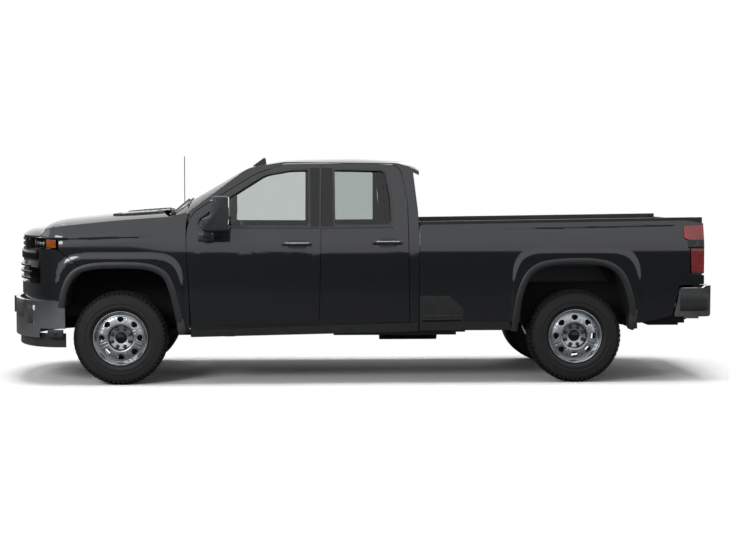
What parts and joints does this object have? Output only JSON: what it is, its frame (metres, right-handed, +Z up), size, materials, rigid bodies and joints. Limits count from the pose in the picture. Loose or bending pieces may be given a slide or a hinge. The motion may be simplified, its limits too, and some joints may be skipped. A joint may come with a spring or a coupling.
{
  "type": "pickup truck",
  "caption": "Full-size four-door pickup truck with a long load bed, opening doors, hood and tailgate, steered front wheels and a rear hitch receiver.",
  "frame": {"origin": "on the ground under the middle of the overall length and width", "axes": "+Z up, +X towards the rear of the truck, -Y towards its left side"},
  "size_m": [6.52, 2.5982, 2.091],
  "materials": {
    "black_plastic": "grained",
    "body_paint": "metallic gloss",
    "cast_metal": "cast",
    "chassis_steel": "painted black",
    "chrome": "polished",
    "clear_lens": "clear",
    "exhaust_steel": "dull",
    "interior_plastic": "grained",
    "red_lens": "clear red",
    "seat_cloth": "woven",
    "tyre_rubber": "matt",
    "wheel_steel": "satin",
    "window_glass": "clear"
  },
  "bodies": {
    "chassis": {"antennas": "black_plastic", "bed_floor": "body_paint", "bed_front": "body_paint", "bed_rails": "black_plastic", "bed_side_left": "body_paint", "bed_side_right": "body_paint", "bed_steps": "black_plastic", "bumper_cap": "body_paint", "cab_back": "body_paint", "cab_floor": "body_paint", "cab_side_left": "body_paint", "cab_side_right": "body_paint", "cowl": "black_plastic", "dashboard": "interior_plastic", "exhaust": "exhaust_steel", "fender_left": "body_paint", "fender_right": "body_paint", "frame": "chassis_steel", "front_axle": "chassis_steel", "front_bumper": "chrome", "front_corners": "body_paint", "front_valance": "black_plastic", "fuel_tank": "black_plastic", "grille": "black_plastic", "headlamps": "clear_lens", "powertrain": "cast_metal", "rear_axle": "chassis_steel", "rear_bumper": "chrome", "rear_window": "window_glass", "roof": "body_paint", "seat_rear": "seat_cloth", "seats_front": "seat_cloth", "sill_mouldings": "black_plastic", "tail_lamps": "red_lens", "wheel_flares": "black_plastic", "wheel_liners": "black_plastic", "windshield": "window_glass"},
    "knuckle_body_left": {"knuckle_left": "chassis_steel"},
    "front_wheel_left": {"tyre_front_left": "tyre_rubber", "wheel_front_left": "wheel_steel"},
    "rear_wheel_left": {"tyre_rear_left": "tyre_rubber", "wheel_rear_left": "wheel_steel"},
    "front_door_left": {"door_front_left": "body_paint", "glass_front_left": "window_glass", "mirror_left": "black_plastic"},
    "rear_door_left": {"door_rear_left": "body_paint", "glass_rear_left": "window_glass"},
    "knuckle_body_right": {"knuckle_right": "chassis_steel"},
    "front_wheel_right": {"tyre_front_right": "tyre_rubber", "wheel_front_right": "wheel_steel"},
    "rear_wheel_right": {"tyre_rear_right": "tyre_rubber", "wheel_rear_right": "wheel_steel"},
    "front_door_right": {"door_front_right": "body_paint", "glass_front_right": "window_glass", "mirror_right": "black_plastic"},
    "rear_door_right": {"door_rear_right": "body_paint", "glass_rear_right": "window_glass"},
    "hood_lid": {"hood": "body_paint"},
    "tailgate_lid": {"tailgate": "body_paint"},
    "steering_wheel_body": {"steering_wheel": "interior_plastic"}
  },
  "joints": [
    {"name": "steer_left", "type": "hinge", "parent": "chassis", "child": "knuckle_body_left", "pos_m": [-2.178, -0.72, 0.4215], "axis": [0, 0, 1], "range_deg": [-32, 32]},
    {"name": "roll_front_left", "type": "hinge", "parent": "knuckle_body_left", "child": "front_wheel_left", "pos_m": [-2.178, -0.87, 0.4215], "axis": [0, 1, 0], "continuous": true},
    {"name": "roll_rear_left", "type": "hinge", "parent": "chassis", "child": "rear_wheel_left", "pos_m": [1.95, -0.87, 0.4215], "axis": [0, 1, 0], "continuous": true},
    {"name": "front_door_left_hinge", "type": "hinge", "parent": "chassis", "child": "front_door_left", "pos_m": [-1.58, -1.04, 0.9], "axis": [0, 0, -1], "range_deg": [0, 68]},
    {"name": "rear_door_left_hinge", "type": "hinge", "parent": "chassis", "child": "rear_door_left", "pos_m": [-0.392, -1.04, 0.9], "axis": [0, 0, -1], "range_deg": [0, 75]},
    {"name": "steer_right", "type": "hinge", "parent": "chassis", "child": "knuckle_body_right", "pos_m": [-2.178, 0.72, 0.4215], "axis": [0, 0, 1], "range_deg": [-32, 32]},
    {"name": "roll_front_right", "type": "hinge", "parent": "knuckle_body_right", "child": "front_wheel_right", "pos_m": [-2.178, 0.87, 0.4215], "axis": [0, 1, 0], "continuous": true},
    {"name": "roll_rear_right", "type": "hinge", "parent": "chassis", "child": "rear_wheel_right", "pos_m": [1.95, 0.87, 0.4215], "axis": [0, 1, 0], "continuous": true},
    {"name": "front_door_right_hinge", "type": "hinge", "parent": "chassis", "child": "front_door_right", "pos_m": [-1.58, 1.04, 0.9], "axis": [0, 0, 1], "range_deg": [0, 68]},
    {"name": "rear_door_right_hinge", "type": "hinge", "parent": "chassis", "child": "rear_door_right", "pos_m": [-0.392, 1.04, 0.9], "axis": [0, 0, 1], "range_deg": [0, 75]},
    {"name": "hood_hinge", "type": "hinge", "parent": "chassis", "child": "hood_lid", "pos_m": [-1.728, 0, 1.508], "axis": [0, 1, 0], "range_deg": [0, 48]},
    {"name": "tailgate_hinge", "type": "hinge", "parent": "chassis", "child": "tailgate_lid", "pos_m": [3.108, 0, 0.93], "axis": [0, 1, 0], "range_deg": [0, 90]},
    {"name": "steering_wheel_turn", "type": "hinge", "parent": "chassis", "child": "steering_wheel_body", "pos_m": [-1.04, -0.395, 1.29], "axis": [0.9272, 0, 0.3746], "range_deg": [-486, 486]}
  ],
  "couplings": [
    {"joint": "steer_right", "follows": "steer_left", "ratio": 1},
    {"joint": "steering_wheel_turn", "follows": "steer_left", "ratio": 15}
  ]
}
